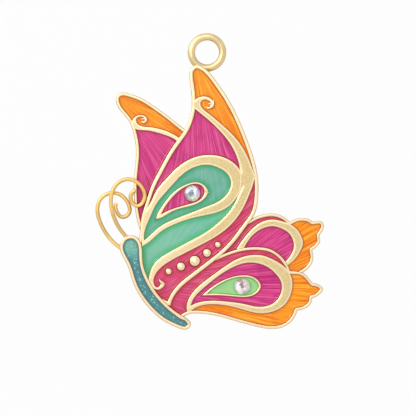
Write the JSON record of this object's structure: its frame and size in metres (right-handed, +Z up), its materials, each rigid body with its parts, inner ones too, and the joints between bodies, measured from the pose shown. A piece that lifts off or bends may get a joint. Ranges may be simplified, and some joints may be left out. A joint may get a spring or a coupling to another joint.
{
  "type": "butterfly ornament",
  "caption": "Small flat butterfly ornament in side view: gilt walls around coloured enamel, faceted stones, curled wire antennae and a hanging ring at the wing tip.",
  "frame": {"origin": "centre of the hanging ring's bore", "axes": "+Z up as it hangs, -Y the enamelled front, +X to the viewer's right (towards the tail wings)"},
  "size_m": [0.0254, 0.002, 0.0331],
  "materials": {
    "gilt_casting": "gold plated, matte on the wide bands and bright on the edges",
    "gilt_ring": "gold plated, polished round wire",
    "gilt_wire": "gold plated, polished round wire",
    "crystal": "faceted clear crystal with an iridescent coat",
    "orange_enamel": "glossy translucent enamel over engraved rays",
    "magenta_enamel": "glossy translucent enamel over engraved rays",
    "teal_enamel": "glossy pearly enamel",
    "green_enamel": "glossy pearly enamel",
    "body_enamel": "glossy translucent enamel with fine glitter"
  },
  "bodies": {
    "root": {"cast_frame": "gilt_casting", "hanging_ring": "gilt_ring", "front_antenna": "gilt_wire", "back_antenna": "gilt_wire", "fore_stone": "crystal", "hind_stone": "crystal", "rear_tip_enamel": "orange_enamel", "rear_field_enamel": "magenta_enamel", "fore_tip_enamel": "orange_enamel", "fore_upper_enamel": "magenta_enamel", "fore_eye_enamel": "teal_enamel", "fore_drop_enamel": "magenta_enamel", "fore_lower_enamel": "teal_enamel", "fore_dotted_enamel": "magenta_enamel", "hind_upper_strip_enamel": "magenta_enamel", "hind_upper_field_enamel": "magenta_enamel", "hind_upper_edge_enamel": "orange_enamel", "hind_lower_strip_enamel": "magenta_enamel", "hind_lower_field_enamel": "magenta_enamel", "hind_drop_enamel": "green_enamel", "hind_lower_edge_enamel": "orange_enamel", "body_enamel": "body_enamel"}
  },
  "joints": []
}
